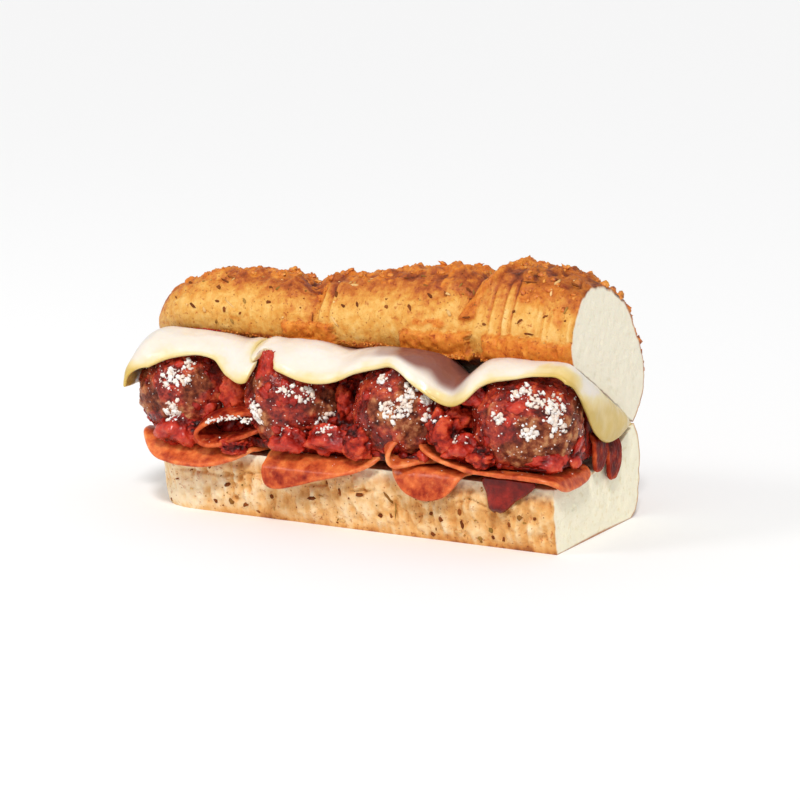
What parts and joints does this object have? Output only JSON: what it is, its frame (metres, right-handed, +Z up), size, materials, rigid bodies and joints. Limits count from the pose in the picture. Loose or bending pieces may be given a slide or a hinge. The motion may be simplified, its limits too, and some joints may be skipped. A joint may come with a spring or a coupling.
{
  "type": "submarine sandwich",
  "caption": "Half of a herb crusted submarine roll, cut square at one end, with meatballs, melted cheese slices, pepperoni and chunky tomato sauce showing along its open front.",
  "frame": {"origin": "middle of the underside of the bounding box, on the surface that the sandwich lies on", "axes": "+X along the loaf towards the cut end, -Y towards the open front with the filling, +Z up"},
  "size_m": [0.153, 0.0719, 0.0774],
  "materials": {
    "crust": "golden brown baked crust with herbs and browned cheese",
    "low_crust": "pale matte baked crust",
    "meat": "rough browned meat, sauced in places",
    "cheese": "smooth melted cheese, soft sheen",
    "pepperoni": "oily cured sausage",
    "sauce": "wet tomato sauce with chunks"
  },
  "bodies": {
    "root": {"bread_bottom": "low_crust", "bread_top": "crust", "meatball_1": "meat", "meatball_2": "meat", "meatball_3": "meat", "meatball_4": "meat", "cheese_1": "cheese", "cheese_2": "cheese", "pepperoni_1": "pepperoni", "pepperoni_2": "pepperoni", "pepperoni_3": "pepperoni", "pepperoni_4": "pepperoni", "pepperoni_5": "pepperoni", "pepperoni_6": "pepperoni", "pepperoni_7": "pepperoni", "pepperoni_8": "pepperoni", "marinara": "sauce", "marinara_drip": "sauce"}
  },
  "joints": []
}
